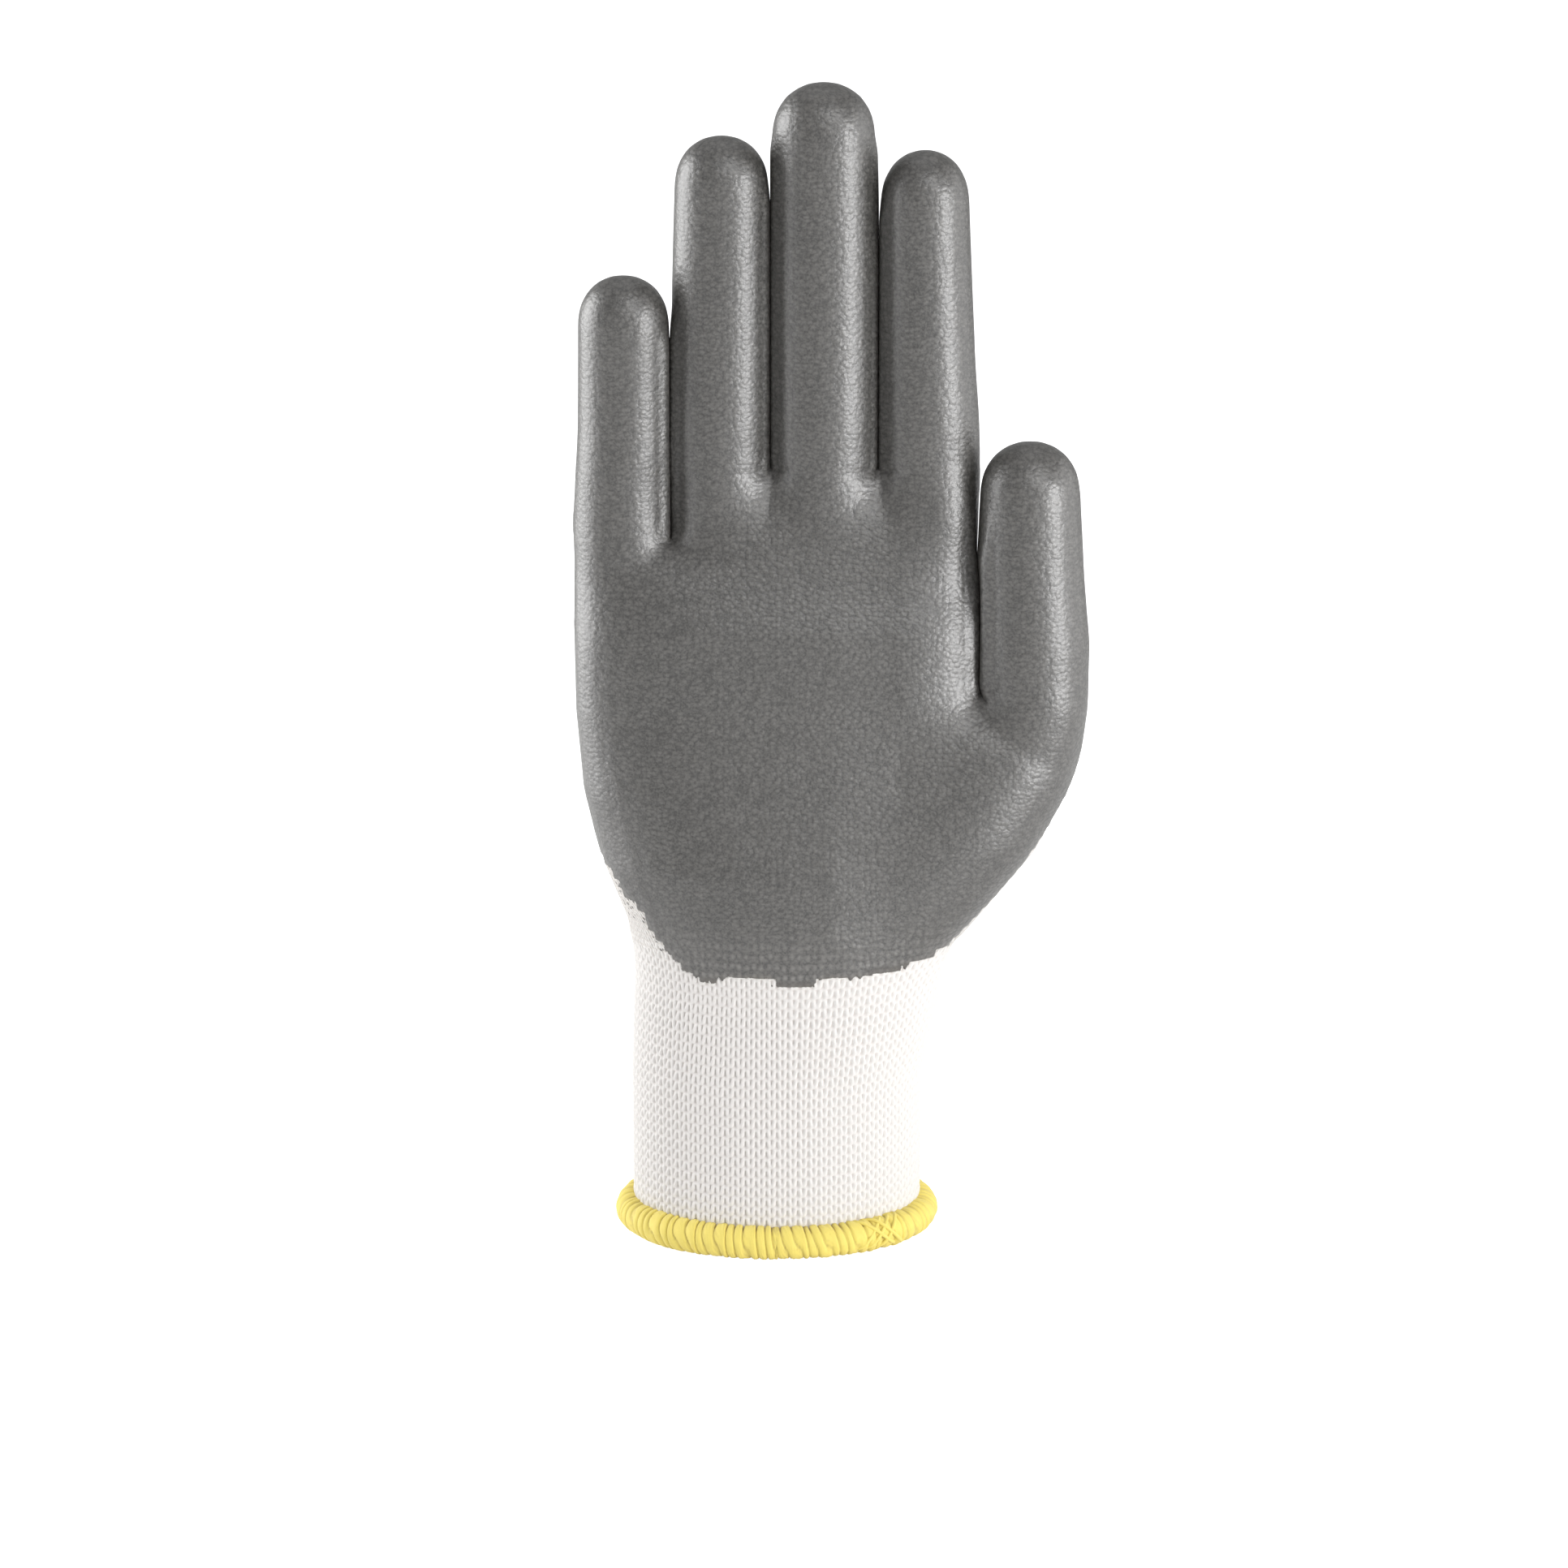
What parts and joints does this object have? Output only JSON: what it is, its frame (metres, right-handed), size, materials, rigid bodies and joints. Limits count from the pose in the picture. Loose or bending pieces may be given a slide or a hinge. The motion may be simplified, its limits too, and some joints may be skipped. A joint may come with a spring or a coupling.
{
  "type": "cut resistant glove",
  "caption": "right-hand work glove with a seamless knitted liner, a dipped grip coating over palm and fingertips, a knitted cuff and an overlocked thread hem; bends at wrist, fingers and thumb",
  "frame": {"origin": "middle of the wrist opening, level with the bottom of the hem", "axes": "palm faces -Y, thumb side is +X, fingers point to +Z"},
  "size_m": [0.1099, 0.0546, 0.25],
  "materials": {
    "cuff_knit": "knitted",
    "cuff_elastic": "covered elastic yarn",
    "hem_thread": "wrapped thread",
    "wrist_knit": "knitted",
    "hand_knit": "knitted",
    "palm_coating": "satin, over knit grain",
    "little_base_knit": "knitted",
    "little_base_coating": "satin, over knit grain",
    "little_tip_knit": "knitted",
    "little_tip_coating": "satin, over knit grain",
    "ring_base_knit": "knitted",
    "ring_base_coating": "satin, over knit grain",
    "ring_tip_knit": "knitted",
    "ring_tip_coating": "satin, over knit grain",
    "middle_base_knit": "knitted",
    "middle_base_coating": "satin, over knit grain",
    "middle_tip_knit": "knitted",
    "middle_tip_coating": "satin, over knit grain",
    "index_base_knit": "knitted",
    "index_base_coating": "satin, over knit grain",
    "index_tip_knit": "knitted",
    "index_tip_coating": "satin, over knit grain",
    "thumb_base_knit": "knitted",
    "thumb_base_coating": "satin, over knit grain",
    "thumb_tip_knit": "knitted",
    "thumb_tip_coating": "satin, over knit grain"
  },
  "bodies": {
    "cuff": {"cuff_knit": "cuff_knit", "cuff_elastic": "cuff_elastic", "hem_thread": "hem_thread"},
    "hand": {"wrist_knit": "wrist_knit", "hand_knit": "hand_knit", "palm_coating": "palm_coating"},
    "little_base": {"little_base_knit": "little_base_knit", "little_base_coating": "little_base_coating"},
    "little_tip": {"little_tip_knit": "little_tip_knit", "little_tip_coating": "little_tip_coating"},
    "ring_base": {"ring_base_knit": "ring_base_knit", "ring_base_coating": "ring_base_coating"},
    "ring_tip": {"ring_tip_knit": "ring_tip_knit", "ring_tip_coating": "ring_tip_coating"},
    "middle_base": {"middle_base_knit": "middle_base_knit", "middle_base_coating": "middle_base_coating"},
    "middle_tip": {"middle_tip_knit": "middle_tip_knit", "middle_tip_coating": "middle_tip_coating"},
    "index_base": {"index_base_knit": "index_base_knit", "index_base_coating": "index_base_coating"},
    "index_tip": {"index_tip_knit": "index_tip_knit", "index_tip_coating": "index_tip_coating"},
    "thumb_base": {"thumb_base_knit": "thumb_base_knit", "thumb_base_coating": "thumb_base_coating"},
    "thumb_tip": {"thumb_tip_knit": "thumb_tip_knit", "thumb_tip_coating": "thumb_tip_coating"}
  },
  "joints": [
    {"name": "wrist_bend", "type": "hinge", "parent": "cuff", "child": "hand", "pos_m": [0, 0, 0.0465], "axis": [1, 0, 0], "range_deg": [-40, 40], "stiffness_Nm_per_rad": 0.15, "deforming": ["wrist_knit"]},
    {"name": "little_root", "type": "hinge", "parent": "hand", "child": "little_base", "pos_m": [-0.03295, -0.00944, 0.157], "axis": [1, 0, 0], "range_deg": [0, 80], "stiffness_Nm_per_rad": 0.03},
    {"name": "little_crease", "type": "hinge", "parent": "little_base", "child": "little_tip", "pos_m": [-0.03295, -0.00962, 0.177], "axis": [1, 0, 0], "range_deg": [0, 95], "stiffness_Nm_per_rad": 0.015},
    {"name": "ring_root", "type": "hinge", "parent": "hand", "child": "ring_base", "pos_m": [-0.01185, -0.00944, 0.166], "axis": [1, 0, 0], "range_deg": [0, 80], "stiffness_Nm_per_rad": 0.03},
    {"name": "ring_crease", "type": "hinge", "parent": "ring_base", "child": "ring_tip", "pos_m": [-0.01185, -0.00966, 0.195], "axis": [1, 0, 0], "range_deg": [0, 95], "stiffness_Nm_per_rad": 0.015},
    {"name": "middle_root", "type": "hinge", "parent": "hand", "child": "middle_base", "pos_m": [0.01005, -0.01018, 0.166], "axis": [1, 0, 0], "range_deg": [0, 80], "stiffness_Nm_per_rad": 0.03},
    {"name": "middle_crease", "type": "hinge", "parent": "middle_base", "child": "middle_tip", "pos_m": [0.01005, -0.01036, 0.199], "axis": [1, 0, 0], "range_deg": [0, 95], "stiffness_Nm_per_rad": 0.015},
    {"name": "index_root", "type": "hinge", "parent": "hand", "child": "index_base", "pos_m": [0.03245, -0.0099, 0.166], "axis": [1, 0, 0], "range_deg": [0, 80], "stiffness_Nm_per_rad": 0.03},
    {"name": "index_crease", "type": "hinge", "parent": "index_base", "child": "index_tip", "pos_m": [0.03245, -0.01011, 0.194], "axis": [1, 0, 0], "range_deg": [0, 95], "stiffness_Nm_per_rad": 0.015},
    {"name": "thumb_root", "type": "hinge", "parent": "hand", "child": "thumb_base", "pos_m": [0.05535, -0.01673, 0.1205], "axis": [1, 0, 0], "range_deg": [0, 50], "stiffness_Nm_per_rad": 0.03},
    {"name": "thumb_crease", "type": "hinge", "parent": "thumb_base", "child": "thumb_tip", "pos_m": [0.05535, -0.01595, 0.146], "axis": [1, 0, 0], "range_deg": [0, 75], "stiffness_Nm_per_rad": 0.015}
  ]
}
